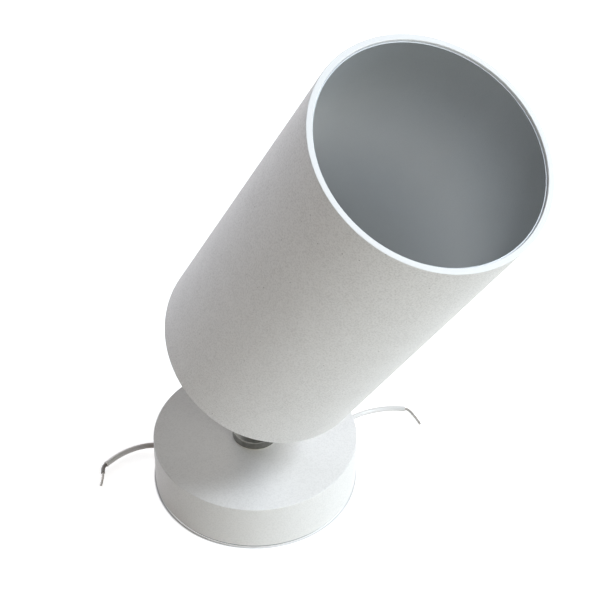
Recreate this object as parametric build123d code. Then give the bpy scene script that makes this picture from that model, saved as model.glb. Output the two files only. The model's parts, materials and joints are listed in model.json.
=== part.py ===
from build123d import *
from math import radians, tan
import os

# Surface mounted ceiling spotlight: a round canopy, a swivel with a tilting knuckle, and a straight
# tube head with a screw-base lamp holder. Millimetres. The origin is the centre of the face that
# lies against the ceiling, and +Z points out of the ceiling. At rest the head leans towards -Y.

# --- driving dimensions --------------------------------------------------------------------------

# canopy and mounting plate
CANOPY_RADIUS = 50.0
CANOPY_TOP = 27.0
CANOPY_WALL = 1.5
PLATE_RADIUS = 49.2
PLATE_THICKNESS = 1.5
PLATE_HOLE_RADIUS = 14.0
SLOT_SPACING = 60.0
SLOT_LENGTH = 12.0
SLOT_WIDTH = 4.6
EAR_ANGLES = (140.0, 320.0)
EAR_WIDTH = 12.0
EAR_HEIGHT = 18.0
EAR_OUTER_RADIUS = 47.9
CANOPY_SCREW_HEIGHT = 13.0
EARTH_SCREW_PLACE = (-24.0, -14.0)

# swivel, turning about Z
STEM_RADIUS = 5.0
STEM_BORE_RADIUS = 3.9
STEM_BOTTOM = 16.5
STEM_TOP = 46.0
BUSH_RADIUS = 6.5
RUNNING_CLEARANCE = 0.05
FACE_GAP = 0.1
COLLAR_RADIUS = 11.25
COLLAR_HEIGHT = 4.2
STOP_PIN_PLACE = 11.5
STOP_PIN_RADIUS = 1.5

# knuckle, tilting about X
PIVOT_HEIGHT = 79.0
REST_TILT = 30.1
NECK_RADIUS = 7.5
FORK_WIDTH = 19.0
FORK_EAR_RADIUS = 8.5
FORK_BOTTOM = 64.0
FORK_CORNER_RADIUS = 11.2
FORK_SLOT_WIDTH = 8.2
FORK_WEB_FACE = 6.5
LUG_THICKNESS = 7.2
LUG_EYE_RADIUS = 6.3
LUG_FLANGE_RADIUS = 11.0
LUG_FLANGE_BOTTOM = 17.0
HINGE_BOLT_RADIUS = 2.5
LEAD_GROOVE_DEPTH = 2.9

# head: stations along the tube are measured from the pivot
TUBE_RADIUS = 50.0
TUBE_WALL = 2.5
TUBE_REAR = 21.0
TUBE_FRONT = 207.0
REAR_CAP_THICKNESS = 3.0
CAP_RING_DEPTH = 7.0
CAP_SCREW_ANGLES = (90.0, 210.0, 330.0)
CAP_SCREW_PLACE = 43.0
LINER_RADIUS = 47.4
LINER_WALL = 0.5
LINER_REAR = 126.5
LINER_FRONT = 205.8
LINER_SEAM_ANGLE = 215.0

# lamp holder for a 27 mm screw-base lamp
CARRIER_TUBE_BORE_RADIUS = 3.8
CARRIER_TUBE_REAR = 11.2
CARRIER_TUBE_FRONT = 49.0
HOLDER_RADIUS = 19.0
HOLDER_REAR = 43.0
HOLDER_CAP_FRONT = 65.0
HOLDER_BASE_FRONT = 72.0
HOLDER_FRONT = 100.0
HOLDER_LIP_RADIUS = 20.0
HOLDER_LIP_DEPTH = 3.0
HOLDER_MOUTH_RADIUS = 14.6
SHELL_RADIUS = 13.3
SHELL_WALL = 0.5
SHELL_REAR = 76.0
SHELL_FRONT = 95.0
TERMINAL_PLACE = 7.0
TERMINAL_REAR = 58.5

# single-core leads
LEAD_RADIUS = 1.4
INNER_INSULATION_RADIUS = 1.05
STRAND_RADIUS = 0.7
LEAD_PLACE = 1.5
LEAD_SLEEVE_BORE = 3.1
GROMMET_RADIUS = 2.3
GROMMET_LENGTH = 4.0

# Routes of the leads, chosen by hand: inside the canopy, then free on the mounting surface, then
# the stripped and tinned end. The left lead shows its inner insulation before its tinned end.
LEFT_INNER_ROUTE = [
    (-1.5, 0.0, 15.6), (-1.5, 0.0, 8.6), (-4.8, 7.4, 5.1), (-10.6, 20.0, 4.1),
    (-19.06, 34.14, 3.0), (-26.5, 42.3, 3.0),
]
LEFT_FREE_ROUTE = [
    (-26.5, 42.3, 3.0), (-29.6, 45.7, 3.0), (-34.8, 49.7, 2.0), (-41.4, 52.0, 1.5),
    (-48.6, 52.4, 1.45), (-54.9, 51.5, 1.45),
]
LEFT_INSULATION_ROUTE = [
    (-54.9, 51.5, 1.45), (-56.3, 51.3, 1.45), (-57.9, 50.0, 1.3), (-59.3, 48.1, 1.15),
]
LEFT_TIP_ROUTE = [
    (-59.3, 48.1, 1.15), (-60.42, 46.58, 1.03), (-62.5, 44.5, 0.9), (-64.9, 42.3, 0.75),
]
RIGHT_INNER_ROUTE = [
    (1.5, 0.0, 15.6), (1.5, 0.0, 8.6), (7.5, -2.4, 5.1), (24.0, -5.4, 4.3),
    (41.66, -6.23, 3.0), (50.2, -5.95, 3.0),
]
RIGHT_FREE_ROUTE = [
    (50.2, -5.95, 3.0), (56.3, -5.75, 3.0), (63.2, -5.9, 2.2), (69.4, -6.9, 1.55),
    (76.6, -10.1, 1.45), (83.0, -14.6, 1.45), (86.4, -18.4, 1.45),
]
RIGHT_TIP_ROUTE = [
    (86.4, -18.4, 1.45), (87.2, -19.29, 1.45), (87.2, -21.9, 1.2), (86.5, -26.0, 0.95),
    (85.1, -30.9, 0.75),
]

# --- sizes that follow ---------------------------------------------------------------------------

CANOPY_UNDERSIDE = CANOPY_TOP - CANOPY_WALL
BUSH_FLANGE_TOP = CANOPY_TOP + 0.6
COLLAR_BOTTOM = BUSH_FLANGE_TOP + FACE_GAP
COLLAR_TOP = COLLAR_BOTTOM + COLLAR_HEIGHT
FORK_SLOT_FLOOR = PIVOT_HEIGHT - LUG_EYE_RADIUS - 0.2
TUBE_BORE_RADIUS = TUBE_RADIUS - TUBE_WALL
CAP_INNER_FACE = TUBE_REAR + REAR_CAP_THICKNESS
CAP_RING_FRONT = CAP_INNER_FACE + CAP_RING_DEPTH
LEAD_GROOVE_WIDTH = 2 * LEAD_RADIUS + 0.4
HEAD_PLACE = Pos(0, 0, PIVOT_HEIGHT) * Rot(REST_TILT, 0, 0)


# --- small builders ------------------------------------------------------------------------------

def disc(radius, bottom, top):
    """A round solid about Z between two heights."""
    return Pos(0, 0, (bottom + top) / 2) * Cylinder(radius, top - bottom)


def ring(outer, inner, bottom, top):
    """A round solid with a round hole through it."""
    return disc(outer, bottom, top) - disc(inner, bottom - 1, top + 1)


def turned(outline):
    """A solid turned about Z from (radius, height) points."""
    return revolve(Plane.XZ * make_face(Polyline(*outline, close=True)), axis=Axis.Z)


def around(angle, radius, solid, height=0.0):
    """The solid moved out from the Z axis at an angle in degrees."""
    return Rot(0, 0, angle) * Pos(radius, 0, height) * solid


def hexagon(across_flats, bottom, top):
    """A hexagonal bar about Z."""
    outline = RegularPolygon(across_flats / 2, 6, major_radius=False)
    return Pos(0, 0, bottom) * extrude(outline, top - bottom)


def nut(across_flats, hole_radius, bottom, top):
    """A hexagon nut about Z with its corners turned off."""
    body = hexagon(across_flats, bottom, top) & disc(across_flats * 0.56, bottom, top)
    return body - disc(hole_radius, bottom - 1, top + 1)


def cross_recess(width, depth):
    """The cross-shaped driver recess of a screw, cut down from height zero."""
    bar = Box(width, width * 0.25, 2 * depth)
    return bar + Rot(0, 0, 90) * bar


def pan_screw(radius, length, head_radius, head_height):
    """A screw along Z whose head stands on height zero."""
    head = disc(head_radius, 0, head_height)
    head = fillet(head.edges().group_by(Axis.Z)[-1], head_height * 0.45)
    recess = Pos(0, 0, head_height) * cross_recess(head_radius * 1.1, head_height * 0.6)
    return head + disc(radius, -length, 0) - recess


def countersunk_screw(radius, length, head_radius):
    """A screw along Z whose flat head ends at height zero."""
    cone_depth = head_radius - radius
    outline = [
        (0, 0), (head_radius, 0), (radius, -cone_depth), (radius, -length), (0, -length),
    ]
    return turned(outline) - cross_recess(head_radius * 1.1, cone_depth * 0.8)


def bend_radii(points):
    """The largest arc that the two runs beside each inner point leave room for."""
    radii = []
    for before, here, after in zip(points, points[1:], points[2:]):
        run_in = here - before
        run_out = after - here
        half_turn = radians(run_in.get_angle(run_out)) / 2
        radii.append(0.45 * min(run_in.length, run_out.length) / tan(half_turn))
    return radii


def wire(name, route, radius):
    """A round wire along straight runs joined by tangent arcs."""
    points = [Vector(*point) for point in route]
    radii = bend_radii(points)
    path = FilletPolyline(*points, radius=radii)
    section = Plane(origin=points[0], z_dir=points[1] - points[0]) * Circle(radius)
    print(name, "length", round(path.length, 1), "bend radii", [round(r, 1) for r in radii])
    return sweep(section, path=path)


def exit_plane(free_route):
    """The plane square to a lead where it leaves the canopy, level, with its Y direction up."""
    start = Vector(*free_route[0])
    outward = Vector(*free_route[1]) - start
    return Plane(origin=start, x_dir=Vector(0, 0, 1).cross(outward), z_dir=outward)


# --- canopy and mounting plate -------------------------------------------------------------------

def mounting_plate():
    """Flat disc with two wall screw slots, a cable hole and two bent-up ears."""
    plate = ring(PLATE_RADIUS, PLATE_HOLE_RADIUS, 0, PLATE_THICKNESS)
    slot = extrude(SlotOverall(SLOT_LENGTH, SLOT_WIDTH, rotation=90), 3 * PLATE_THICKNESS, both=True)
    for side in (-1, 1):
        plate -= Pos(0, side * SLOT_SPACING / 2, 0) * slot
    ear = Box(CANOPY_WALL, EAR_WIDTH, EAR_HEIGHT)
    ear = fillet(ear.edges().filter_by(Axis.X).group_by(Axis.Z)[-1], EAR_WIDTH / 3)
    hole = Rot(0, 90, 0) * Cylinder(1.5, 8)
    for angle in EAR_ANGLES:
        plate += around(angle, EAR_OUTER_RADIUS - CANOPY_WALL / 2, ear, EAR_HEIGHT / 2)
        plate -= around(angle, EAR_OUTER_RADIUS, hole, CANOPY_SCREW_HEIGHT)
    return plate - Pos(*EARTH_SCREW_PLACE, 0) * Cylinder(2.0, 3 * PLATE_THICKNESS)


def canopy_cup():
    """Round cup that covers the plate, with notches for the leads in its edge."""
    cup = disc(CANOPY_RADIUS, PLATE_THICKNESS, CANOPY_TOP)
    cup = fillet(cup.edges().group_by(Axis.Z)[-1], 0.4)
    cup -= disc(CANOPY_RADIUS - CANOPY_WALL, 0, CANOPY_UNDERSIDE)
    cup -= disc(BUSH_RADIUS, CANOPY_UNDERSIDE - 1, CANOPY_TOP + 1)
    hole = Rot(0, 90, 0) * Cylinder(1.6, 8)
    for angle in EAR_ANGLES:
        cup -= around(angle, CANOPY_RADIUS, hole, CANOPY_SCREW_HEIGHT)
    for route in (LEFT_FREE_ROUTE, RIGHT_FREE_ROUTE):
        notch = extrude(Circle(GROMMET_RADIUS) + Pos(0, -2) * Rectangle(2 * GROMMET_RADIUS, 4), 5)
        notch += mirror(notch, Plane.XY)
        cup -= exit_plane(route) * notch
    return cup


def canopy_screws():
    """Two headless socket screws, flush with the canopy wall, that go into the ears."""
    screw = Rot(0, 90, 0) * (disc(1.45, -6.0, -0.2) - hexagon(1.5, -1.8, 1.0))
    return Compound([around(angle, CANOPY_RADIUS, screw, CANOPY_SCREW_HEIGHT) for angle in EAR_ANGLES])


def earth_screw():
    """Earth screw with its cup washer on the mounting plate."""
    screw = pan_screw(1.95, 1.4, 3.8, 2.4)
    return Pos(*EARTH_SCREW_PLACE, PLATE_THICKNESS + 1.0) * screw


def earth_washer():
    """Dished washer under the earth screw's head."""
    outline = [(2.0, 0.4), (4.6, 0.0), (4.6, 0.6), (2.0, 1.0)]
    return Pos(*EARTH_SCREW_PLACE, PLATE_THICKNESS) * turned(outline)


def lead_grommets():
    """Soft bushes in the canopy edge, one round each lead."""
    above_plate = disc(CANOPY_RADIUS + 5, PLATE_THICKNESS, CANOPY_TOP)
    bushes = []
    for route in (LEFT_FREE_ROUTE, RIGHT_FREE_ROUTE):
        bush = Cylinder(GROMMET_RADIUS, GROMMET_LENGTH) - Cylinder(LEAD_RADIUS, GROMMET_LENGTH + 2)
        bush = exit_plane(route) * Pos(0, 0, -GROMMET_LENGTH / 2 + 0.3) * bush
        bushes.append(bush & above_plate)
    return Compound(bushes)


def lead_tie():
    """Cable tie that holds both leads together below the stem."""
    band = SlotCenterToCenter(2 * LEAD_PLACE, 2 * LEAD_RADIUS + 2.0)
    opening = SlotCenterToCenter(2 * LEAD_PLACE, 2 * LEAD_RADIUS)
    lock = Pos(0, LEAD_RADIUS + 2.0) * Rectangle(4.0, 3.0)
    return Pos(0, 0, 12.8) * extrude(band + lock - opening, 2.2)


# --- swivel --------------------------------------------------------------------------------------

def swivel_bush():
    """Flanged plastic bush in the canopy's centre hole."""
    bore = STEM_RADIUS + RUNNING_CLEARANCE
    flange = ring(COLLAR_RADIUS - 0.25, bore, CANOPY_TOP, BUSH_FLANGE_TOP)
    return flange + ring(BUSH_RADIUS, bore, CANOPY_UNDERSIDE, CANOPY_TOP)


def stop_pin():
    """Pin under the canopy that the stop washer's tab runs against."""
    return Pos(0, STOP_PIN_PLACE, 0) * disc(STOP_PIN_RADIUS, 21.5, CANOPY_UNDERSIDE)


def stem_tube():
    """Hollow stem that carries the knuckle and lets the leads through."""
    return ring(STEM_RADIUS, STEM_BORE_RADIUS, STEM_BOTTOM, STEM_TOP)


def stem_end_bush():
    """Plastic bush that keeps the leads off the stem's cut edge."""
    flange = ring(STEM_RADIUS + 0.6, LEAD_SLEEVE_BORE, STEM_BOTTOM - 0.8, STEM_BOTTOM)
    return flange + ring(STEM_BORE_RADIUS, LEAD_SLEEVE_BORE, STEM_BOTTOM, STEM_BOTTOM + 3.5)


def swivel_collar():
    """Low round foot of the swivel on top of the canopy."""
    collar = disc(COLLAR_RADIUS, COLLAR_BOTTOM, COLLAR_TOP)
    collar = fillet(collar.edges().group_by(Axis.Z)[-1], 0.4)
    return collar - disc(STEM_RADIUS, COLLAR_BOTTOM - 1, COLLAR_TOP + 1)


def stop_washer():
    """Washer on the stem with the tab that limits the swivel."""
    washer = disc(8.5, 22.9, 24.1) + Pos(0, -10.3, 23.5) * Box(4.0, 4.8, 1.2)
    return washer - disc(STEM_RADIUS, 20, 30)


def spring_washer():
    """Dished washer that gives the swivel its drag."""
    return turned([(STEM_RADIUS, 24.1), (9.0, 24.85), (9.0, 25.35), (STEM_RADIUS, 24.6)])


def stem_nuts():
    """Two thin nuts locked against each other on the stem."""
    return Compound([nut(14.0, STEM_RADIUS, 20.1, 22.9), nut(14.0, STEM_RADIUS, 17.2, 20.0)])


def stem_leads():
    """The two leads where they run inside the stem."""
    lead = disc(LEAD_RADIUS, 15.7, 62.0)
    return Compound([Pos(side * LEAD_PLACE, 0, 0) * lead for side in (-1, 1)])


# --- knuckle -------------------------------------------------------------------------------------

def swivel_fork():
    """Neck that widens into a fork with a web behind the slot."""
    outline = Pos(0, PIVOT_HEIGHT) * Circle(FORK_EAR_RADIUS)
    block_height = PIVOT_HEIGHT - FORK_BOTTOM
    outline += Pos(0, FORK_BOTTOM + block_height / 2) * Rectangle(2 * FORK_EAR_RADIUS, block_height)
    block = extrude(Plane.YZ * outline, FORK_WIDTH / 2, both=True)
    flare = Pos(0, 0, FORK_BOTTOM - 3) * Cone(NECK_RADIUS, FORK_CORNER_RADIUS, 6)
    flare &= Pos(0, 0, FORK_BOTTOM) * Box(FORK_WIDTH, 2 * FORK_EAR_RADIUS, 20)
    fork = block & disc(FORK_CORNER_RADIUS, FORK_BOTTOM - 1, PIVOT_HEIGHT + 10)
    fork += flare + disc(NECK_RADIUS, COLLAR_TOP, FORK_BOTTOM)
    slot_length = 30.0
    slot = Box(FORK_SLOT_WIDTH, slot_length, 40)
    fork -= Pos(0, FORK_WEB_FACE - slot_length / 2, FORK_SLOT_FLOOR + 20) * slot
    fork -= disc(STEM_RADIUS, COLLAR_TOP - 1, STEM_TOP)
    fork -= disc(STEM_BORE_RADIUS, STEM_TOP - 1, FORK_SLOT_FLOOR + 1)
    fork -= Pos(0, 0, FORK_SLOT_FLOOR - 2) * Box(LEAD_GROOVE_WIDTH, 2 * FORK_WEB_FACE, 8)
    return fork - Pos(0, 0, PIVOT_HEIGHT) * Rot(0, 90, 0) * Cylinder(HINGE_BOLT_RADIUS + 0.05, 40)


def hinge_bolt():
    """Socket-head bolt along the tilt axis."""
    head = disc(4.25, 0, 3.2)
    head = fillet(head.edges().group_by(Axis.Z)[-1], 0.5)
    bolt = head + disc(HINGE_BOLT_RADIUS, -24.8, 0) - hexagon(3.0, 1.2, 4.0)
    return Pos(FORK_WIDTH / 2 + 0.8, 0, PIVOT_HEIGHT) * Rot(0, 90, 0) * bolt


def hinge_washers():
    """Washers under the bolt's head and under the cap nut."""
    washer = Rot(0, 90, 0) * ring(5.0, HINGE_BOLT_RADIUS + 0.05, 0, 0.8)
    places = (FORK_WIDTH / 2, -FORK_WIDTH / 2 - 0.8)
    return Compound([Pos(place, 0, PIVOT_HEIGHT) * washer for place in places])


def hinge_cap_nut():
    """Domed nut that closes the bolt's end."""
    body = nut(8.0, HINGE_BOLT_RADIUS, 0, 4.2)
    dome = (Pos(0, 0, 4.2) * Sphere(3.7)) & disc(5.0, 4.2, 9.0)
    cap = body + (dome - disc(HINGE_BOLT_RADIUS, 4.0, 5.2))
    return Pos(-FORK_WIDTH / 2 - 0.8, 0, PIVOT_HEIGHT) * Rot(0, -90, 0) * cap


def friction_washers():
    """Thin plastic washers that give the tilt its drag."""
    thickness = (FORK_SLOT_WIDTH - LUG_THICKNESS) / 2 - FACE_GAP
    washer = Rot(0, 90, 0) * ring(LUG_EYE_RADIUS - 0.1, HINGE_BOLT_RADIUS + 0.05, 0, thickness)
    places = (FORK_SLOT_WIDTH / 2 - thickness, -FORK_SLOT_WIDTH / 2)
    return Compound([Pos(place, 0, PIVOT_HEIGHT) * washer for place in places])


# --- head, modelled upright with the pivot at height zero ----------------------------------------

def head_lug():
    """Eye, arm and flange that carry the head, with a groove for each lead."""
    lug = Rot(0, 90, 0) * Cylinder(LUG_EYE_RADIUS, LUG_THICKNESS)
    lug += Pos(0, 0, LUG_FLANGE_BOTTOM / 2) * Box(LUG_THICKNESS, 2 * LUG_EYE_RADIUS, LUG_FLANGE_BOTTOM)
    lug += Pos(0, 0, LUG_FLANGE_BOTTOM - 2) * Cone(7.3, LUG_FLANGE_RADIUS, 4)
    lug += disc(LUG_FLANGE_RADIUS, LUG_FLANGE_BOTTOM, TUBE_REAR)
    lug -= disc(STEM_RADIUS, CARRIER_TUBE_REAR, TUBE_REAR + 1)
    lug -= disc(CARRIER_TUBE_BORE_RADIUS, 9.0, CARRIER_TUBE_REAR + 1)
    groove = Pos(0, 0, 2.0) * Box(LEAD_GROOVE_WIDTH, LEAD_GROOVE_DEPTH + 1, 18.0)
    for side in (-1, 1):
        lug -= Pos(0, side * (LUG_EYE_RADIUS - LEAD_GROOVE_DEPTH / 2 + 0.5), 0) * groove
    return lug - Rot(0, 90, 0) * Cylinder(HINGE_BOLT_RADIUS + 0.06, LUG_THICKNESS + 2)


def rear_cap():
    """Disc that closes the tube's rear end."""
    cap = disc(TUBE_BORE_RADIUS - 0.2, TUBE_REAR, CAP_INNER_FACE)
    cap = chamfer(cap.edges().group_by(Axis.Z)[0], 0.4)
    cap -= disc(STEM_RADIUS + 0.1, TUBE_REAR - 1, CAP_INNER_FACE + 1)
    hole = turned([(0, -0.1), (4.35, -0.1), (2.15, 2.1), (2.15, 4.0), (0, 4.0)])
    for angle in CAP_SCREW_ANGLES:
        cap -= around(angle, CAP_SCREW_PLACE, hole, TUBE_REAR)
    return cap


def cap_screws():
    """Three countersunk screws through the rear cap."""
    screw = Rot(180, 0, 0) * countersunk_screw(1.95, 9.0, 4.1)
    return Compound([around(angle, CAP_SCREW_PLACE, screw, TUBE_REAR) for angle in CAP_SCREW_ANGLES])


def cap_ring():
    """Ring pressed into the tube that the cap screws go into."""
    rim = ring(TUBE_BORE_RADIUS - 0.02, 38.5, CAP_INNER_FACE, CAP_RING_FRONT)
    for angle in CAP_SCREW_ANGLES:
        rim -= around(angle, CAP_SCREW_PLACE, Cylinder(2.0, 20), CAP_INNER_FACE)
    return rim


def head_tube():
    """Straight outer tube, open at the front."""
    tube = ring(TUBE_RADIUS, TUBE_BORE_RADIUS, TUBE_REAR, TUBE_FRONT)
    return fillet(tube.edges().filter_by(GeomType.CIRCLE), 0.3)


def tube_liner():
    """Rolled sheet that lines the front part of the tube, open along one seam."""
    liner = ring(LINER_RADIUS, LINER_RADIUS - LINER_WALL, LINER_REAR, LINER_FRONT)
    seam = Box(6.0, 1.0, 500)
    return liner - around(LINER_SEAM_ANGLE, LINER_RADIUS, seam)


def carrier_tube():
    """Hollow threaded tube from the lug to the lamp holder."""
    return ring(STEM_RADIUS, CARRIER_TUBE_BORE_RADIUS, CARRIER_TUBE_REAR, CARRIER_TUBE_FRONT)


def carrier_nuts():
    """Nuts on the carrier tube: one holds the rear cap, one locks the holder."""
    front_nut = nut(14.0, STEM_RADIUS, HOLDER_REAR - 3.0, HOLDER_REAR)
    return Compound([nut(14.0, STEM_RADIUS, CAP_INNER_FACE + 0.8, CAP_INNER_FACE + 4.0), front_nut])


def lock_washer():
    """Toothed washer under the rear cap's nut."""
    washer = ring(9.0, STEM_RADIUS + 0.05, CAP_INNER_FACE, CAP_INNER_FACE + 0.8)
    tooth_count = 12
    for step in range(tooth_count):
        washer -= around(step * 360 / tooth_count, 9.0, Box(2.4, 1.4, 5), CAP_INNER_FACE)
    return washer


# --- lamp holder ---------------------------------------------------------------------------------

def holder_cap():
    """Domed plastic back of the lamp holder."""
    outline = [
        (STEM_RADIUS, HOLDER_REAR), (9.0, HOLDER_REAR), (9.0, HOLDER_REAR + 3.0),
        (HOLDER_RADIUS, HOLDER_CAP_FRONT - 11.0), (HOLDER_RADIUS, HOLDER_CAP_FRONT),
        (HOLDER_RADIUS - 1.6, HOLDER_CAP_FRONT), (HOLDER_RADIUS - 1.6, HOLDER_CAP_FRONT - 10.2),
        (8.0, HOLDER_REAR + 4.4), (STEM_RADIUS, HOLDER_REAR + 4.4),
    ]
    grub_hole = Pos(0, -7.0, HOLDER_REAR + 1.6) * Rot(90, 0, 0) * Cylinder(0.9, 6.0)
    return turned(outline) - grub_hole


def holder_grub_screw():
    """Small screw that locks the holder cap on the carrier tube."""
    screw = Rot(90, 0, 0) * (disc(0.9, 0, 4.0) - hexagon(0.9, 2.8, 5.0))
    return Pos(0, -STEM_RADIUS, HOLDER_REAR + 1.6) * screw


def holder_base():
    """Insulating disc with the contacts on it."""
    base = disc(HOLDER_RADIUS, HOLDER_CAP_FRONT, HOLDER_BASE_FRONT)
    for side in (-1, 1):
        base -= Pos(side * TERMINAL_PLACE, 0, HOLDER_CAP_FRONT) * Cylinder(1.5, 20)
    return base


def holder_body():
    """Front half of the lamp holder, with a lip round its mouth."""
    shell_outer = SHELL_RADIUS + SHELL_WALL
    outline = [
        (shell_outer, HOLDER_BASE_FRONT), (HOLDER_RADIUS, HOLDER_BASE_FRONT),
        (HOLDER_RADIUS, HOLDER_FRONT - HOLDER_LIP_DEPTH - 1.0),
        (HOLDER_LIP_RADIUS, HOLDER_FRONT - HOLDER_LIP_DEPTH), (HOLDER_LIP_RADIUS, HOLDER_FRONT - 1.0),
        (HOLDER_LIP_RADIUS - 1.0, HOLDER_FRONT), (HOLDER_MOUTH_RADIUS + 1.2, HOLDER_FRONT),
        (HOLDER_MOUTH_RADIUS, HOLDER_FRONT - 1.2), (HOLDER_MOUTH_RADIUS, SHELL_FRONT),
        (shell_outer, SHELL_FRONT),
    ]
    return turned(outline)


def holder_shell():
    """Brass shell that takes the lamp's screw base."""
    return ring(SHELL_RADIUS + SHELL_WALL, SHELL_RADIUS, SHELL_REAR, SHELL_FRONT)


def centre_contact():
    """Springy strip that touches the lamp's centre."""
    outline = [
        (-7.0, 0.0), (-7.0, 0.5), (-3.2, 0.5), (2.5, 3.4), (5.0, 2.8), (5.0, 2.3), (2.5, 2.8), (-2.4, 0.0),
    ]
    strip = extrude(Plane.XZ * make_face(Polyline(*outline, close=True)), 2.5, both=True)
    return Pos(0, 0, HOLDER_BASE_FRONT) * strip


def terminal_blocks():
    """Two brass blocks that the leads are screwed into."""
    block = Box(5.0, 6.0, HOLDER_CAP_FRONT - TERMINAL_REAR)
    block -= Pos(0, -3, 0) * Rot(90, 0, 0) * Cylinder(1.3, 5)
    middle = (HOLDER_CAP_FRONT + TERMINAL_REAR) / 2
    return Compound([Pos(side * TERMINAL_PLACE, 0, middle) * block for side in (-1, 1)])


def terminal_screws():
    """Screws that clamp the leads in the terminal blocks."""
    screw = Rot(90, 0, 0) * pan_screw(1.25, 2.0, 2.2, 1.4)
    middle = (HOLDER_CAP_FRONT + TERMINAL_REAR) / 2
    return Compound([Pos(side * TERMINAL_PLACE, -3.0, middle) * screw for side in (-1, 1)])


def head_leads():
    """The two leads from the knuckle through the carrier tube to the terminals."""
    leads = []
    for side in (-1, 1):
        route = [
            (side * LEAD_PLACE, 0, CARRIER_TUBE_REAR), (side * LEAD_PLACE, 0, CARRIER_TUBE_FRONT + 1),
            (side * TERMINAL_PLACE, 0, TERMINAL_REAR - 3.3), (side * TERMINAL_PLACE, 0, TERMINAL_REAR),
        ]
        leads.append(wire("head lead", route, LEAD_RADIUS))
    return Compound(leads)


# --- the whole light -----------------------------------------------------------------------------

FIXED_PIECES = {
    "mounting_plate": mounting_plate(),
    "canopy_cup": canopy_cup(),
    "canopy_screws": canopy_screws(),
    "earth_screw": earth_screw(),
    "earth_washer": earth_washer(),
    "lead_grommets": lead_grommets(),
    "lead_tie": lead_tie(),
    "canopy_lead_left": wire("canopy_lead_left", LEFT_INNER_ROUTE, LEAD_RADIUS),
    "canopy_lead_right": wire("canopy_lead_right", RIGHT_INNER_ROUTE, LEAD_RADIUS),
    "free_lead_left": wire("free_lead_left", LEFT_FREE_ROUTE, LEAD_RADIUS),
    "free_lead_right": wire("free_lead_right", RIGHT_FREE_ROUTE, LEAD_RADIUS),
    "inner_insulation_left": wire(
        "inner_insulation_left", LEFT_INSULATION_ROUTE, INNER_INSULATION_RADIUS
    ),
    "tinned_end_left": wire("tinned_end_left", LEFT_TIP_ROUTE, STRAND_RADIUS),
    "tinned_end_right": wire("tinned_end_right", RIGHT_TIP_ROUTE, STRAND_RADIUS),
    "swivel_bush": swivel_bush(),
    "stop_pin": stop_pin(),
    "stem_tube": stem_tube(),
    "stem_end_bush": stem_end_bush(),
    "swivel_collar": swivel_collar(),
    "stop_washer": stop_washer(),
    "spring_washer": spring_washer(),
    "stem_nuts": stem_nuts(),
    "stem_leads": stem_leads(),
    "swivel_fork": swivel_fork(),
    "hinge_bolt": hinge_bolt(),
    "hinge_washers": hinge_washers(),
    "hinge_cap_nut": hinge_cap_nut(),
    "friction_washers": friction_washers(),
}

HEAD_PIECES = {
    "head_lug": head_lug(),
    "rear_cap": rear_cap(),
    "cap_screws": cap_screws(),
    "cap_ring": cap_ring(),
    "head_tube": head_tube(),
    "tube_liner": tube_liner(),
    "carrier_tube": carrier_tube(),
    "carrier_nuts": carrier_nuts(),
    "lock_washer": lock_washer(),
    "holder_cap": holder_cap(),
    "holder_grub_screw": holder_grub_screw(),
    "holder_base": holder_base(),
    "holder_body": holder_body(),
    "holder_shell": holder_shell(),
    "centre_contact": centre_contact(),
    "terminal_blocks": terminal_blocks(),
    "terminal_screws": terminal_screws(),
    "head_leads": head_leads(),
}

os.makedirs("parts", exist_ok=True)
for name, piece in FIXED_PIECES.items():
    export_step(piece, f"parts/{name}.step")
for name, piece in HEAD_PIECES.items():
    export_step(HEAD_PLACE * piece, f"parts/{name}.step")
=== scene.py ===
import json
from math import ceil, cos, pi, radians, sin

import bmesh
import bpy
from mathutils import Matrix, Vector


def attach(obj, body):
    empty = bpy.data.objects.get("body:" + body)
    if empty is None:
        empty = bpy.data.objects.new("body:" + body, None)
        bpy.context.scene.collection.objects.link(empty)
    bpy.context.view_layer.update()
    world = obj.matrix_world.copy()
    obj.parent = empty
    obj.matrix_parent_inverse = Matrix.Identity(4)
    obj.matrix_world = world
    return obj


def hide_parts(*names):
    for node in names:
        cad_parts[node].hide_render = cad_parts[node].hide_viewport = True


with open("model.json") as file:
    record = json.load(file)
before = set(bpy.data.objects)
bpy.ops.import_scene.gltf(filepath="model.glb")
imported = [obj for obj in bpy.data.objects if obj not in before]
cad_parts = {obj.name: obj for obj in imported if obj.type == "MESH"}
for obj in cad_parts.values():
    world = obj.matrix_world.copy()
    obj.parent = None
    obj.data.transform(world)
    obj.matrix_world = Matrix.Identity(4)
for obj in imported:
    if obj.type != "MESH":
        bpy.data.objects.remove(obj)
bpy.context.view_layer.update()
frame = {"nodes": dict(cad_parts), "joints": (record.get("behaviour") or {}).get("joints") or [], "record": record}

# White cylinder spotlight on a round canopy, standing on its ceiling face. All sizes are in metres.
# The ceiling face is at height zero, +Z points out of the ceiling, and the head leans towards -Y.

# --- sizes ---------------------------------------------------------------------------------------

JOINTS = {joint["name"]: joint for joint in frame["joints"]}
MOUNTS = {mount["name"]: mount for mount in frame["record"]["mounts"]}
PIVOT = Vector(JOINTS["tilt"]["pos_m"])
REST_TILT = radians(-JOINTS["tilt"]["range_deg"][0])
HEAD_PLACE = Matrix.Translation(PIVOT) @ Matrix.Rotation(REST_TILT, 4, "X")
ALONG_X = (1, 0, 0)
ALONG_Z = (0, 0, 1)
MM_IN_METRE = 1000

CANOPY_RADIUS = 0.05

# the head: two stations along it, counted from the pivot, and the radius of its bore
TUBE_FRONT = 0.207
LINER_REAR = 0.1265
TUBE_BORE_RADIUS = 0.0475

# the coat's inner edge: how far it reaches behind the rim, how ragged it is, and how soft
COATED_LIP = 0.0002
RAGGED_LENGTH = 0.003
RAGGED_DEPTH = 0.0004
EDGE_WIDTH = 0.0002

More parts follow.
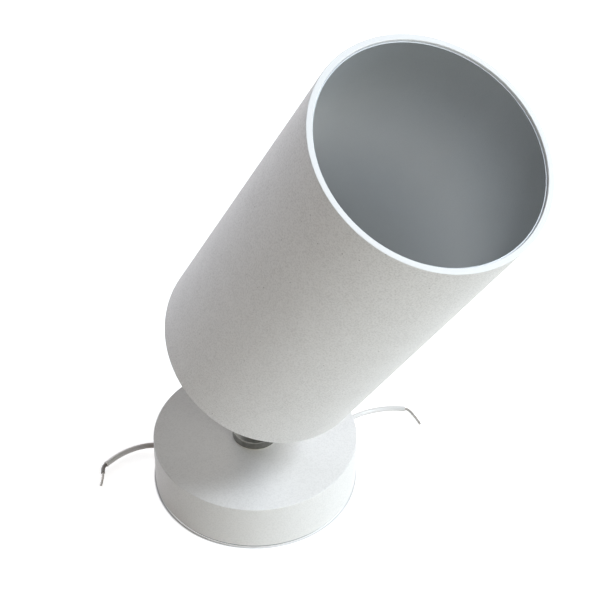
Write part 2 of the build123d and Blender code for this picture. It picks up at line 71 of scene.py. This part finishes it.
# the rolled thread of the lamp holder's shell
THREAD_PITCH = 0.00363
THREAD_DEPTH = 0.001
THREAD_PROUD = 0.0001
THREAD_WAVE_STEPS = 8
THREAD_SEGMENTS = 64
SHELL_WALL = 0.0004
WELD_DISTANCE = 1e-6
CUT_TOLERANCE = 1e-7

# the two leads: their radii, how the strands are twisted, and how finely all of it is cut
LEAD_RADIUS = 0.0014
INNER_INSULATION_RADIUS = 0.00105
BUNDLE_RADIUS = 0.0007
STRANDS_AROUND = 6
STRAND_TURN = 0.009
ROUTE_STEPS = 12
LEAD_ROUNDING = 6
STRAND_ROUNDING = 2

# the leads' routes, from the canopy's edge to the end, and the insulated lengths
LEFT_LEAD_ROUTE = [
    (-0.0265, 0.0423, 0.0030), (-0.0296, 0.0457, 0.0030), (-0.0348, 0.0497, 0.0020),
    (-0.0414, 0.0520, 0.0015), (-0.0486, 0.0524, 0.00145), (-0.0549, 0.0515, 0.00145),
]
LEFT_INSULATION_ROUTE = [
    (-0.0549, 0.0515, 0.00145), (-0.0563, 0.0513, 0.00145), (-0.0579, 0.0500, 0.0013),
    (-0.0593, 0.0481, 0.00115),
]
LEFT_TIP_ROUTE = [
    (-0.0593, 0.0481, 0.00115), (-0.06042, 0.04658, 0.00103), (-0.0625, 0.0445, 0.0009),
    (-0.0649, 0.0423, 0.00075),
]
RIGHT_LEAD_ROUTE = [
    (0.0502, -0.00595, 0.0030), (0.0563, -0.00575, 0.0030), (0.0632, -0.0059, 0.0022),
    (0.0694, -0.0069, 0.00155), (0.0766, -0.0101, 0.00145), (0.0830, -0.0146, 0.00145),
    (0.0864, -0.0184, 0.00145),
]
RIGHT_TIP_ROUTE = [
    (0.0864, -0.0184, 0.00145), (0.0872, -0.01929, 0.00145), (0.0872, -0.0219, 0.0012),
    (0.0865, -0.0260, 0.00095), (0.0851, -0.0309, 0.00075),
]

# the photograph's camera
CAMERA_PLACE = Vector((-0.37555, -0.44993, 0.63441))
CAMERA_HEADING = radians(41.91)
CAMERA_DROP = radians(41.557)
CAMERA_ROLL = radians(0.808)
CAMERA_LENS = 102.63

# the soft boxes: name, heading and height in degrees, width, watts and colour
LAMP_AIM = Vector((0, -0.03, 0.12))
LAMP_DISTANCE = 1.6
LAMPS = [
    ("key", 75, 50, 0.5, 21.4, (0.93, 1.0, 1.07)),
    ("front_right", 45, 15, 1.0, 7.0, (1.03, 1.04, 0.93)),
    ("front_left", 315, 15, 1.0, 2.5, (1.2, 1.0, 0.8)),
    ("rear", 180, 15, 1.0, 5.3, (1.1, 1.0, 0.9)),
    ("rear_left", 225, 15, 1.0, 7.7, (0.92, 0.97, 1.11)),
]

# the floor, which glows a little less near the light than far from it, with a painted contact shadow along the
# canopy's edge
FLOOR_RADIUS = 4.0
FLOOR_SEGMENTS = 96
FLOOR_DROP = 0.0002
FLOOR_GLOW = 0.8
NEAR_FLOOR = 0.35
FAR_FLOOR = 1.2
CONTACT_SHADOW_WIDTH = 0.0012


# --- shader sums ---------------------------------------------------------------------------------

class Signal:
    """One output of a finish's nodes, on which sums can be written."""

    def __init__(self, socket):
        self.socket = socket

    def into(self, target):
        """Joins this output to a node's input."""
        self.socket.id_data.links.new(self.socket, target)

    def node(self, kind, settings, inputs, output=0):
        """A new node with its settings made first, then its inputs set or joined."""
        made = self.socket.id_data.nodes.new(kind)
        for name, value in settings.items():
            setattr(made, name, value)
        for name, value in inputs.items():
            if isinstance(value, Signal):
                value.into(made.inputs[name])
            else:
                made.inputs[name].default_value = value
        return Signal(made.outputs[output])

    def math(self, operation, *values):
        """The result of one operation on numbers and outputs."""
        return self.node("ShaderNodeMath", {"operation": operation}, dict(enumerate(values)))

    def __add__(self, other):
        return self.math("ADD", self, other)

    def __sub__(self, other):
        return self.math("SUBTRACT", self, other)

    def __mul__(self, other):
        return self.math("MULTIPLY", self, other)

    def __rsub__(self, other):
        return self.math("SUBTRACT", other, self)

    __radd__ = __add__
    __rmul__ = __mul__

    def rise(self, start, end):
        """0 up to start, 1 from end on, and smooth between."""
        inputs = {"Value": self, "From Min": start, "From Max": end}
        return self.node("ShaderNodeMapRange", {"interpolation_type": "SMOOTHSTEP"}, inputs)

    def between(self, low, high):
        """The number low where this is 0 and the number high where it is 1."""
        return self * (high - low) + low

    def blended(self, other, share):
        """This value, with that share of another one in it."""
        return self * (1 - share) + other * share

    def mixed(self, low, high):
        """The colour low where this is 0 and the colour high where it is 1."""
        return self.node("ShaderNodeMix", {"data_type": "RGBA"}, {0: self, 6: low, 7: high}, 2)

    def scaled(self, factors):
        """This place, stretched by three factors."""
        settings = {"operation": "MULTIPLY"}
        return self.node("ShaderNodeVectorMath", settings, {0: self, 1: factors})

    def along(self, direction):
        """How far this place lies in a direction."""
        settings = {"operation": "DOT_PRODUCT"}
        return self.node("ShaderNodeVectorMath", settings, {0: self, 1: direction}, 1)

    def from_axis(self):
        """How far this place is from the Z axis."""
        flat = self.scaled((1, 1, 0))
        return flat.node("ShaderNodeVectorMath", {"operation": "LENGTH"}, {0: flat}, 1)

    def lumps(self, size, detail=2.0):
        """Cloudy noise from 0 to 1 at this place, with lumps of that size."""
        inputs = {"Vector": self, "Scale": 1 / size, "Detail": detail}
        return self.node("ShaderNodeTexNoise", {}, inputs)

    def dots(self, spacing, radius):
        """1 inside small dots scattered through space at that spacing, 0 elsewhere."""
        distance = self.node("ShaderNodeTexVoronoi", {}, {"Vector": self, "Scale": 1 / spacing})
        return 1 - distance.rise(0.6 * radius / spacing, radius / spacing)

    def crystals(self, size):
        """A steady number from 0 to 1 within each crystal of that size."""
        colour = self.node("ShaderNodeTexVoronoi", {}, {"Vector": self, "Scale": 1 / size}, 1)
        return colour.along((0.5, 0.3, 0.2))

    def relief(self, depth):
        """A surface normal for this height, where 1 stands that many metres proud of 0."""
        return self.node("ShaderNodeBump", {}, {"Height": self, "Distance": depth})


def new_finish(name):
    """An empty finish: the material, its shader, and the place on the piece in metres."""
    material = bpy.data.materials.new(name)
    material.use_nodes = True
    nodes = material.node_tree.nodes
    place = Signal(nodes.new("ShaderNodeTexCoord").outputs["Object"])
    return material, nodes["Principled BSDF"], place


def set_finish(shader, **values):
    """Sets or joins the shader's sockets, whose names are written with _ for a space."""
    for name, value in values.items():
        socket = shader.inputs[name.replace("_", " ")]
        if isinstance(value, Signal):
            value.into(socket)
        else:
            socket.default_value = value


def in_head(place):
    """The place measured in the upright head: its Z is the station from the pivot."""
    inputs = {"Vector": place, "Location": PIVOT, "Rotation": (REST_TILT, 0, 0)}
    return place.node("ShaderNodeMapping", {"vector_type": "TEXTURE"}, inputs)


# --- colours and textures of the finishes --------------------------------------------------------

WHITE = (1, 1, 1, 1)
BLACK = (0, 0, 0, 1)
FLOOR_GREY = (0.8, 0.8, 0.8, 1)
AMBIENT = (0.02, 0.02, 0.02, 1)

# powder coat: on the tube, on its rim, and on the canopy and the rear cap
COAT_WHITE = (0.86, 0.855, 0.84, 1)
COAT_SHADE = (0.72, 0.715, 0.70, 1)
# the rim's white: a darker, bluish copy of the coat's white, painted shade with a painted cool tint
RIM_WHITE_PAINTED_SHADE = (0.785, 0.79, 0.795, 1)
# the canopy's and rear cap's whites: a lighter copy of the tube's coat, painted light
CANOPY_WHITE_PAINTED_LIGHT = (0.87, 0.867, 0.855, 1)
CANOPY_GRAIN_PAINTED_LIGHT = (0.805, 0.802, 0.79, 1)
COAT_ROUGHNESS = (0.45, 0.65)
COAT_GLOSS = 0.4
COAT_RELIEF = 0.0002
SAND_GRAIN = 0.0007
SAND_PATCH = 0.0009
ORANGE_PEEL = 0.004
COAT_CLOUD = 0.012
COAT_PINHOLE_SPACING = 0.0062
RIM_SMOOTHNESS = 0.8

# uncoated aluminium: bare, and etched on the liner; the liner's rear end takes the bare colour as painted light
BARE_GREY = (0.90, 0.91, 0.915, 1)
BARE_SHADE = (0.86, 0.87, 0.88, 1)
ETCHED_GREY = (0.43, 0.455, 0.475, 1)
ETCHED_SHADE = (0.39, 0.415, 0.435, 1)
BARE_METAL = 0.4
BARE_ROUGHNESS = (0.45, 0.55)
BARE_RELIEF_SHARE = 0.2
METAL_GRAIN = 0.0006
METAL_PATCH = 0.02
METAL_SMUDGE = 0.03
SPECK_SPACING = 0.016

# pinholes in the coat and specks on the metal
PINHOLE = (0.26, 0.25, 0.24, 1)
PINHOLE_RADIUS = 0.0003

# the other metals
FINE_RELIEF = 0.00002
CAST_RELIEF = 0.00005
ZINC_GREY = (0.27, 0.27, 0.255, 1)
ZINC_SHADE = (0.19, 0.19, 0.18, 1)
PLATE_GREY = (0.60, 0.62, 0.63, 1)
PLATE_YELLOW = (0.66, 0.64, 0.57, 1)
# the mounting plate's spangle, darkened as painted shade under the canopy's edge
SPANGLE_DARK_PAINTED_SHADE = (0.20, 0.21, 0.22, 1)
SPANGLE_GREY_PAINTED_SHADE = (0.34, 0.35, 0.36, 1)
BRASS_YELLOW = (0.75, 0.56, 0.27, 1)
BRASS_TARNISH = (0.48, 0.33, 0.15, 1)
TIN_GREY = (0.42, 0.41, 0.39, 1)
COPPER_SHOWING = (0.45, 0.34, 0.27, 1)

# plastics and rubber
MOULD_RELIEF = 0.00003
RUBBER_RELIEF = 0.00004
NYLON_SHADE = (0.78, 0.78, 0.74, 1)
NYLON_WHITE = (0.86, 0.86, 0.83, 1)
HOLDER_WHITE = (0.80, 0.80, 0.78, 1)
HOLDER_DUST = (0.70, 0.69, 0.66, 1)
RUBBER_SHADE = (0.62, 0.61, 0.59, 1)
RUBBER_BLOOM = (0.78, 0.77, 0.75, 1)

# lead insulation
LEAD_RIPPLE = (0.80, 0.79, 0.77, 1)
LEAD_RELIEF = 0.00006
LIGHT_LEAD = (0.66, 0.65, 0.64, 1)
PALE_LEAD = (0.72, 0.71, 0.70, 1)
BROWN_LEAD = (0.15, 0.105, 0.09, 1)
GREY_LEAD = (0.90, 0.885, 0.87, 1)
DARK_SLEEVE = (0.10, 0.08, 0.07, 1)


# --- finishes ------------------------------------------------------------------------------------

def coat_colour(place, shade, light):
    """White powder coat: grain between shade and light, and faint clouds."""
    grain = place.lumps(SAND_GRAIN, detail=3.0).blended(place.lumps(COAT_CLOUD), 0.12)
    return grain.rise(0.33, 0.60).mixed(shade, light)


def coat_height(place):
    """The coat's sand texture over a slight orange peel, from 0 to 1."""
    return place.lumps(SAND_GRAIN).blended(place.lumps(ORANGE_PEEL, detail=1.0), 0.4)


def coat_roughness(place):
    """Powder coat, slightly glossier in places."""
    return place.lumps(SAND_PATCH).between(*COAT_ROUGHNESS)


def metal_colour(upright, shade, light):
    """Uncoated aluminium: a fine grain, soft smudges and a few dark specks."""
    cloud = metal_height(upright).blended(upright.lumps(METAL_SMUDGE), 0.5).rise(0.3, 0.7)
    specks = upright.dots(SPECK_SPACING, PINHOLE_RADIUS)
    return specks.mixed(cloud.mixed(shade, light), PINHOLE)


def metal_height(upright):
    """The uncoated metal's fine grain, from 0 to 1."""
    return upright.lumps(METAL_GRAIN, detail=3.0)


def metal_roughness(upright):
    """Uncoated aluminium, slightly duller in places."""
    return upright.lumps(METAL_PATCH).between(*BARE_ROUGHNESS)


def sand_coat():
    """The canopy's and rear cap's coat, with half the relief of the tube's and no pinholes. Its whites are a
    lighter copy of the tube's coat, painted light.
    """
    material, shader, place = new_finish("white_sand_coat")
    set_finish(
        shader,
        # painted light: these whites are lifted above the tube's coat
        Base_Color=coat_colour(place, CANOPY_GRAIN_PAINTED_LIGHT, CANOPY_WHITE_PAINTED_LIGHT),
        Roughness=coat_roughness(place),
        Normal=coat_height(place).relief(COAT_RELIEF / 2),
        Specular_IOR_Level=COAT_GLOSS,
    )
    return material


def tube_finish():
    """The head tube: sand coat outside, a smoother coat over the rim, bare aluminium inside. The rim's coat takes
    a darker, bluish white, painted shade with a painted cool tint.
    """
    material, shader, place = new_finish("coated_tube_bare_inside")
    upright = in_head(place)
    station = upright.along(ALONG_Z) + upright.lumps(RAGGED_LENGTH) * RAGGED_DEPTH
    skin = TUBE_BORE_RADIUS + EDGE_WIDTH
    lip = TUBE_FRONT - COATED_LIP
    inside = 1 - upright.from_axis().rise(skin, skin + EDGE_WIDTH)
    behind_lip = 1 - station.rise(lip, lip + EDGE_WIDTH)
    on_rim = station.rise(TUBE_FRONT - EDGE_WIDTH / 2, TUBE_FRONT + EDGE_WIDTH / 2)
    bare = inside * behind_lip
    coated = 1 - bare

    pinholes = place.dots(COAT_PINHOLE_SPACING, PINHOLE_RADIUS)
    pinholed = pinholes.mixed(coat_colour(place, COAT_SHADE, COAT_WHITE), PINHOLE)
    # painted shade: the rim gets a darker, bluish copy of the coat's white where it faces the light
    coat = on_rim.mixed(pinholed, RIM_WHITE_PAINTED_SHADE)
    coat_relief = coat_height(place) * coated * (1 - on_rim * RIM_SMOOTHNESS)
    bare_relief = metal_height(upright) * bare * BARE_RELIEF_SHARE
    set_finish(
        shader,
        Base_Color=bare.mixed(coat, metal_colour(upright, BARE_SHADE, BARE_GREY)),
        Metallic=bare * BARE_METAL,
        Roughness=coat_roughness(place) * coated + metal_roughness(upright) * bare,
        Normal=(coat_relief + bare_relief).relief(COAT_RELIEF),
        Specular_IOR_Level=COAT_GLOSS,
    )
    return material


def bare_aluminium():
    """Satin aluminium of the ring that the rear cap's screws go into."""
    material, shader, place = new_finish("bare_aluminium")
    upright = in_head(place)
    set_finish(
        shader,
        Base_Color=metal_colour(upright, BARE_SHADE, BARE_GREY),
        Metallic=BARE_METAL,
        Roughness=metal_roughness(upright),
        Normal=metal_height(upright).relief(FINE_RELIEF),
    )
    return material


def etched_liner_painted_light():
    """The liner sheet: etched grey at the tube's mouth, turning to bright bare grey towards its rear edge as
    painted light where less light reaches deep in the tube.
    """
    material, shader, place = new_finish("etched_liner_painted_light")
    upright = in_head(place)
    # painted light: the liner turns from its etched grey at the mouth to the bright bare colour at its rear edge,
    # standing in for light that does not reach deep into the tube
    painted_light_fade = upright.along(ALONG_Z).rise(LINER_REAR, TUBE_FRONT)
    painted_light_colour = metal_colour(upright, BARE_SHADE, BARE_GREY)
    set_finish(
        shader,
        Base_Color=painted_light_fade.mixed(painted_light_colour, metal_colour(upright, ETCHED_SHADE, ETCHED_GREY)),
        Metallic=BARE_METAL,
        Roughness=metal_roughness(upright),
        Normal=metal_height(upright).relief(FINE_RELIEF),
    )
    return material


def satin_cast_zinc():
    """Satin nickel on cast zinc, with the casting's slight waviness."""
    material, shader, place = new_finish("satin_cast_zinc")
    waves = place.lumps(0.003)
    grain = place.lumps(0.0005, detail=3.0)
    set_finish(
        shader,
        Base_Color=waves.blended(grain, 0.4).rise(0.3, 0.7).mixed(ZINC_SHADE, ZINC_GREY),
        Metallic=0.85,
        Roughness=grain.between(0.3, 0.5),
        Normal=waves.blended(grain, 0.3).relief(CAST_RELIEF),
    )
    return material


def zinc_plate():
    """Bright zinc plate with faint yellow clouds and handling marks."""
    material, shader, place = new_finish("zinc_plate")
    clouds = place.lumps(0.004, detail=3.0).rise(0.35, 0.65)
    marks = place.scaled((1, 1, 6)).lumps(0.0015, detail=4.0)
    set_finish(
        shader,
        Base_Color=clouds.mixed(PLATE_GREY, PLATE_YELLOW),
        Metallic=1.0,
        Roughness=marks.between(0.18, 0.48),
        Normal=marks.relief(FINE_RELIEF),
    )
    return material


def galvanised_sheet_painted_shade():
    """Galvanised steel sheet with its spangle, darkened as painted shade so that the plate's edge under the canopy
    reads as a shadow line.
    """
    material, shader, place = new_finish("galvanised_sheet_painted_shade")
    spangle = place.crystals(0.006)
    scuffs = place.lumps(0.0012, detail=4.0)
    set_finish(
        shader,
        # painted shade: the spangle colours are far darker than bare galvanised steel
        Base_Color=spangle.mixed(SPANGLE_DARK_PAINTED_SHADE, SPANGLE_GREY_PAINTED_SHADE),
        Metallic=0.95,
        Roughness=spangle.blended(scuffs, 0.5).between(0.2, 0.6),
        Normal=spangle.blended(scuffs, 0.7).relief(FINE_RELIEF),
    )
    return material


def brass():
    """Stamped brass, slightly tarnished."""
    material, shader, place = new_finish("brass")
    tarnish = place.lumps(0.003, detail=4.0).rise(0.45, 0.75)
    scratches = place.scaled((1, 1, 8)).lumps(0.001, detail=3.0)
    set_finish(
        shader,
        Base_Color=tarnish.mixed(BRASS_YELLOW, BRASS_TARNISH),
        Metallic=1.0,
        Roughness=scratches.between(0.15, 0.40) + tarnish * 0.15,
        Normal=scratches.relief(FINE_RELIEF),
    )
    return material


def tinned_copper():
    """Tinned copper strands: dull grey tin with a little copper showing through."""
    material, shader, place = new_finish("tinned_copper")
    worn = place.lumps(0.0008, detail=3.0).rise(0.55, 0.75)
    set_finish(
        shader,
        Base_Color=worn.mixed(TIN_GREY, COPPER_SHOWING),
        Metallic=0.9,
        Roughness=worn.between(0.35, 0.55),
        Normal=place.lumps(0.0003).relief(FINE_RELIEF),
    )
    return material


def white_nylon():
    """Moulded nylon with a faint eroded texture."""
    material, shader, place = new_finish("white_nylon")
    grain = place.lumps(0.0004, detail=3.0)
    set_finish(
        shader,
        Base_Color=place.lumps(0.005).rise(0.3, 0.7).mixed(NYLON_SHADE, NYLON_WHITE),
        Roughness=grain.between(0.4, 0.6),
        Normal=grain.relief(MOULD_RELIEF),
    )
    return material


def holder_plastic():
    """White moulded thermoset with flow marks and a half gloss."""
    material, shader, place = new_finish("white_holder_plastic")
    flow = place.scaled((1, 1, 0.3)).lumps(0.004, detail=3.0)
    dust = place.lumps(0.0005, detail=4.0).rise(0.55, 0.80)
    set_finish(
        shader,
        Base_Color=flow.blended(dust, 0.5).mixed(HOLDER_WHITE, HOLDER_DUST),
        Roughness=flow.between(0.28, 0.43) + dust * 0.2,
        Normal=flow.relief(MOULD_RELIEF),
    )
    return material


def soft_rubber():
    """Matt white rubber with a powdery bloom."""
    material, shader, place = new_finish("white_rubber")
    bloom = place.lumps(0.0015, detail=3.0)
    set_finish(
        shader,
        Base_Color=bloom.mixed(RUBBER_SHADE, RUBBER_BLOOM),
        Roughness=bloom.between(0.75, 0.9),
        Normal=bloom.relief(RUBBER_RELIEF),
    )
    return material


def insulation(name, colour, far_colour=None, reach=None):
    """Soft lead insulation. A far colour takes over between the two X values of the reach."""
    material, shader, place = new_finish(name)
    if far_colour:
        colour = place.along(ALONG_X).rise(*reach).mixed(colour, far_colour)
    ripple = place.lumps(0.002)
    set_finish(
        shader,
        Base_Color=(ripple * 0.15).mixed(colour, LEAD_RIPPLE),
        Roughness=ripple.between(0.35, 0.55),
        Normal=ripple.relief(LEAD_RELIEF),
        Coat_Weight=1.0,
        Coat_Roughness=0.3,
    )
    return material


def dress_cad_pieces():
    """Gives each carried-over piece the finish of its material slot."""
    left_start, left_middle = LEFT_LEAD_ROUTE[0][0], LEFT_LEAD_ROUTE[3][0]
    right_start, right_end = RIGHT_LEAD_ROUTE[0][0], RIGHT_LEAD_ROUTE[-1][0]
    coat = sand_coat()
    finishes = {
        "white_coat_steel": coat,
        "white_coat_aluminium": coat,
        "bare_aluminium": bare_aluminium(),
        "galvanised_steel": galvanised_sheet_painted_shade(),
        "plated_steel": zinc_plate(),
        "grey_cast_zinc": satin_cast_zinc(),
        "brass": brass(),
        "white_nylon": white_nylon(),
        "white_holder_plastic": holder_plastic(),
        "white_rubber": soft_rubber(),
        "light_insulation": insulation(
            "light_lead", LIGHT_LEAD, far_colour=PALE_LEAD, reach=(right_start, right_end),
        ),
        "brown_grey_insulation": insulation(
            "brown_lead", GREY_LEAD, far_colour=BROWN_LEAD, reach=(left_middle, left_start),
        ),
        "dark_inner_insulation": insulation("dark_sleeve", DARK_SLEEVE),
        "tinned_copper": tinned_copper(),
    }
    for part in frame["record"]["subparts"]:
        materials = frame["nodes"][part["node"]].data.materials
        materials.clear()
        materials.append(finishes[part["material_slot"]])
    frame["nodes"]["head_tube"].data.materials[0] = tube_finish()
    frame["nodes"]["tube_liner"].data.materials[0] = etched_liner_painted_light()
    return finishes


# --- leads ---------------------------------------------------------------------------------------

def link(piece):
    """Puts a new object into the scene."""
    bpy.context.scene.collection.objects.link(piece)
    return piece


def stand_in(piece, node, body):
    """Puts a new piece in a node's place: it hides the node and rides on its body."""
    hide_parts(node)
    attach(piece, body)
    return piece


def route_curve(name, route):
    """A smooth curve guided by a route's points."""
    curve = bpy.data.curves.new(name, "CURVE")
    curve.dimensions = "3D"
    spline = curve.splines.new("NURBS")
    spline.points.add(len(route) - 1)
    for point, place in zip(spline.points, route):
        point.co = (*place, 1)
    spline.order_u = 3
    spline.use_endpoint_u = True
    spline.resolution_u = ROUTE_STEPS
    return curve


def smooth_points(route):
    """Points along the smooth curve that a route guides."""
    guide = bpy.data.objects.new("guide", route_curve("guide", route))
    line = bpy.data.meshes.new_from_object(guide)
    points = [vertex.co.copy() for vertex in line.vertices]
    bpy.data.objects.remove(guide)
    bpy.data.meshes.remove(line)
    return points


def strand_offset(tangent, turn, reach):
    """How far a strand lies from the middle of its bundle at one point."""
    side = tangent.cross(Vector(ALONG_Z)).normalized()
    return (side * cos(turn) + side.cross(tangent) * sin(turn)) * reach


def thicken(curve, radius, rounding):
    """Gives a curve a round section and closed ends."""
    curve.bevel_depth = radius
    curve.bevel_resolution = rounding
    curve.use_fill_caps = True


def tinned_strands(side, route, finish):
    """Twisted and tinned strands: one in the middle and a ring of them wound round it."""
    centre = smooth_points(route)
    strand_radius = BUNDLE_RADIUS / 3
    curve = bpy.data.curves.new(f"tinned_strands_{side}", "CURVE")
    curve.dimensions = "3D"
    thicken(curve, strand_radius, STRAND_ROUNDING)
    for strand in range(STRANDS_AROUND + 1):
        reach = 0 if strand == STRANDS_AROUND else 2 * strand_radius
        travelled = 0
        spline = curve.splines.new("POLY")
        spline.points.add(len(centre) - 1)
        for step, here in enumerate(centre):
            before, after = centre[max(step - 1, 0)], centre[min(step + 1, len(centre) - 1)]
            travelled += (here - before).length
            turn = 2 * pi * (strand / STRANDS_AROUND + travelled / STRAND_TURN)
            place = here + strand_offset((after - before).normalized(), turn, reach)
            spline.points[step].co = (*place, 1)
    curve.materials.append(finish)
    strands = link(bpy.data.objects.new(curve.name, curve))
    return stand_in(strands, f"tinned_end_{side}", "base")


def insulated_run(name, route, radius, node, slot, finishes):
    """A round run of insulation along a route."""
    curve = route_curve(name, route)
    thicken(curve, radius, LEAD_ROUNDING)
    curve.materials.append(finishes[slot])
    return stand_in(link(bpy.data.objects.new(name, curve)), node, "base")


def free_lead(side, route, slot, finishes):
    """One single-core lead from its grommet to its stripped end, lying on the surface."""
    lead = insulated_run(
        f"lead_{side}", route, LEAD_RADIUS, f"free_lead_{side}", slot, finishes,
    )


def lead_pair(finishes):
    """Both leads. The left one's outer insulation is stripped further back than its inner one."""
    inner = insulated_run(
        "inner_sleeve_left", LEFT_INSULATION_ROUTE, INNER_INSULATION_RADIUS,
        "inner_insulation_left", "dark_inner_insulation", finishes,
    )
    tin = finishes["tinned_copper"]
    left_end = [inner, tinned_strands("left", LEFT_TIP_ROUTE, tin)]
    right_end = [tinned_strands("right", RIGHT_TIP_ROUTE, tin)]
    free_lead(
        "left", LEFT_LEAD_ROUTE, "brown_grey_insulation", finishes,
    )
    free_lead(
        "right", RIGHT_LEAD_ROUTE, "light_insulation", finishes,
    )


# --- lamp holder's thread ------------------------------------------------------------------------

def piece_from(bm, name, finish):
    """A smooth-shaded piece from a finished bmesh."""
    for face in bm.faces:
        face.smooth = True
    mesh = bpy.data.meshes.new(name)
    bm.to_mesh(mesh)
    bm.free()
    mesh.materials.append(finish)
    return link(bpy.data.objects.new(name, mesh))


def thread_sleeve(crest, bottom, top):
    """An open sleeve along Z whose wall winds in and out by the thread's depth."""
    bm = bmesh.new()
    outline = []
    for step in range(THREAD_WAVE_STEPS + 1):
        turned = step / THREAD_WAVE_STEPS
        radius = crest - THREAD_DEPTH / 2 * (1 - cos(2 * pi * turned))
        outline.append(bm.verts.new((radius, 0, bottom + THREAD_PITCH * (turned - 1))))
    edges = [bm.edges.new(pair) for pair in zip(outline, outline[1:])]
    turns = ceil((top - bottom) / THREAD_PITCH) + 2
    bmesh.ops.spin(
        bm, geom=outline + edges, cent=(0, 0, 0), axis=ALONG_Z,
        dvec=(0, 0, THREAD_PITCH / THREAD_SEGMENTS), angle=2 * pi * turns,
        steps=THREAD_SEGMENTS * turns,
    )
    bmesh.ops.remove_doubles(bm, verts=bm.verts, dist=WELD_DISTANCE)
    for height, outward in ((bottom, (0, 0, -1)), (top, ALONG_Z)):
        everything = bm.verts[:] + bm.edges[:] + bm.faces[:]
        bmesh.ops.bisect_plane(
            bm, geom=everything, plane_co=(0, 0, height), plane_no=outward, clear_outer=True,
            dist=CUT_TOLERANCE,
        )
    bmesh.ops.recalc_face_normals(bm, faces=bm.faces)
    return bm


def shell_thread(finish):
    """The brass shell's rolled thread, which takes the lamp's screw base."""
    socket = MOUNTS["lamp_socket"]
    middle = (Vector(socket["pos_m"]) - PIVOT).length
    half = socket["dims"]["length_mm"] / MM_IN_METRE / 2
    crest = socket["dims"]["r_mm"] / MM_IN_METRE + THREAD_PROUD
    bm = thread_sleeve(crest, middle - half, middle + half)
    bmesh.ops.solidify(bm, geom=bm.faces[:], thickness=-SHELL_WALL)
    bmesh.ops.transform(bm, matrix=HEAD_PLACE, verts=bm.verts)
    stand_in(piece_from(bm, "threaded_shell", finish), "holder_shell", "head")


# --- camera, lamps and floor ---------------------------------------------------------------------

def place_camera():
    """The camera at the photograph's viewing angle."""
    camera = link(bpy.data.objects.new("photo_camera", bpy.data.cameras.new("photo_camera")))
    camera.data.lens = CAMERA_LENS
    camera.matrix_world = (
        Matrix.Translation(CAMERA_PLACE)
        @ Matrix.Rotation(-CAMERA_HEADING, 4, "Z")
        @ Matrix.Rotation(pi / 2 - CAMERA_DROP, 4, "X")
        @ Matrix.Rotation(CAMERA_ROLL, 4, "Z")
    )
    bpy.context.scene.camera = camera
    bpy.context.scene.view_settings.view_transform = "Standard"


def soft_lamp(name, heading, height, width, watts, colour):
    """A square soft box. Heading 0 stands behind the camera, and 90 stands to its right."""
    turn = CAMERA_HEADING + pi - radians(heading)
    level = Vector((sin(turn), cos(turn), 0)) * cos(radians(height))
    away = level + Vector((0, 0, sin(radians(height))))
    facing = (-away).to_track_quat("-Z", "Y").to_matrix().to_4x4()
    lamp = bpy.data.lights.new(name, "AREA")
    lamp.size = width
    lamp.energy = watts
    lamp.color = colour
    box = link(bpy.data.objects.new(name, lamp))
    box.matrix_world = Matrix.Translation(LAMP_AIM + away * LAMP_DISTANCE) @ facing
    box.visible_camera = False


def shown_rays(nodes):
    """1 for the rays that show the background: from the camera, off gloss and through glass."""
    rays = nodes.new("ShaderNodeLightPath").outputs
    seen = Signal(rays["Is Camera Ray"])
    seen = seen.math("MAXIMUM", seen, Signal(rays["Is Glossy Ray"]))
    return seen.math("MAXIMUM", seen, Signal(rays["Is Transmission Ray"]))


def surround():
    """A world that shows white and lights the object with a dim, even glow."""
    world = bpy.data.worlds.new("studio")
    bpy.context.scene.world = world
    world.use_nodes = True
    nodes = world.node_tree.nodes
    shown_rays(nodes).mixed(AMBIENT, WHITE).into(nodes["Background"].inputs["Color"])


def pale_floor():
    """A wide floor that shows pale and keeps the soft shadow, and is clear from below.

    A painted contact shadow, a dark line where the floor's glow is taken out, runs along the canopy's edge, where
    the canopy stands on it.
    """
    bm = bmesh.new()
    bmesh.ops.create_circle(bm, cap_ends=True, segments=FLOOR_SEGMENTS, radius=FLOOR_RADIUS)
    bmesh.ops.translate(bm, verts=bm.verts, vec=(0, 0, -FLOOR_DROP))
    material, shader, place = new_finish("pale_floor")
    nodes = material.node_tree.nodes
    from_edge = place.from_axis() - CANOPY_RADIUS
    # painted shadow: the glow drops to nothing in a thin ring along the canopy's edge
    clear_of_painted_shadow = from_edge.math("ABSOLUTE", from_edge).rise(0, CONTACT_SHADOW_WIDTH)
    glow = place.from_axis().rise(NEAR_FLOOR, FAR_FLOOR).between(FLOOR_GLOW, 1)
    set_finish(
        shader,
        Base_Color=FLOOR_GREY,
        Roughness=0.9,
        Specular_IOR_Level=0.0,
        Emission_Color=(shown_rays(nodes) * clear_of_painted_shadow * glow).mixed(BLACK, WHITE),
        Emission_Strength=1.0,
    )
    underside = place.node("ShaderNodeNewGeometry", {}, {}, "Backfacing")
    clear = place.node("ShaderNodeBsdfTransparent", {}, {})
    surface = underside.node(
        "ShaderNodeMixShader", {}, {0: underside, 1: Signal(shader.outputs[0]), 2: clear},
    )
    surface.into(nodes["Material Output"].inputs["Surface"])
    piece_from(bm, "floor", material)


# --- the whole light -----------------------------------------------------------------------------

place_camera()
FINISHES = dress_cad_pieces()
lead_pair(FINISHES)
shell_thread(FINISHES["brass"])
surround()
pale_floor()
for lamp in LAMPS:
    soft_lamp(*lamp)
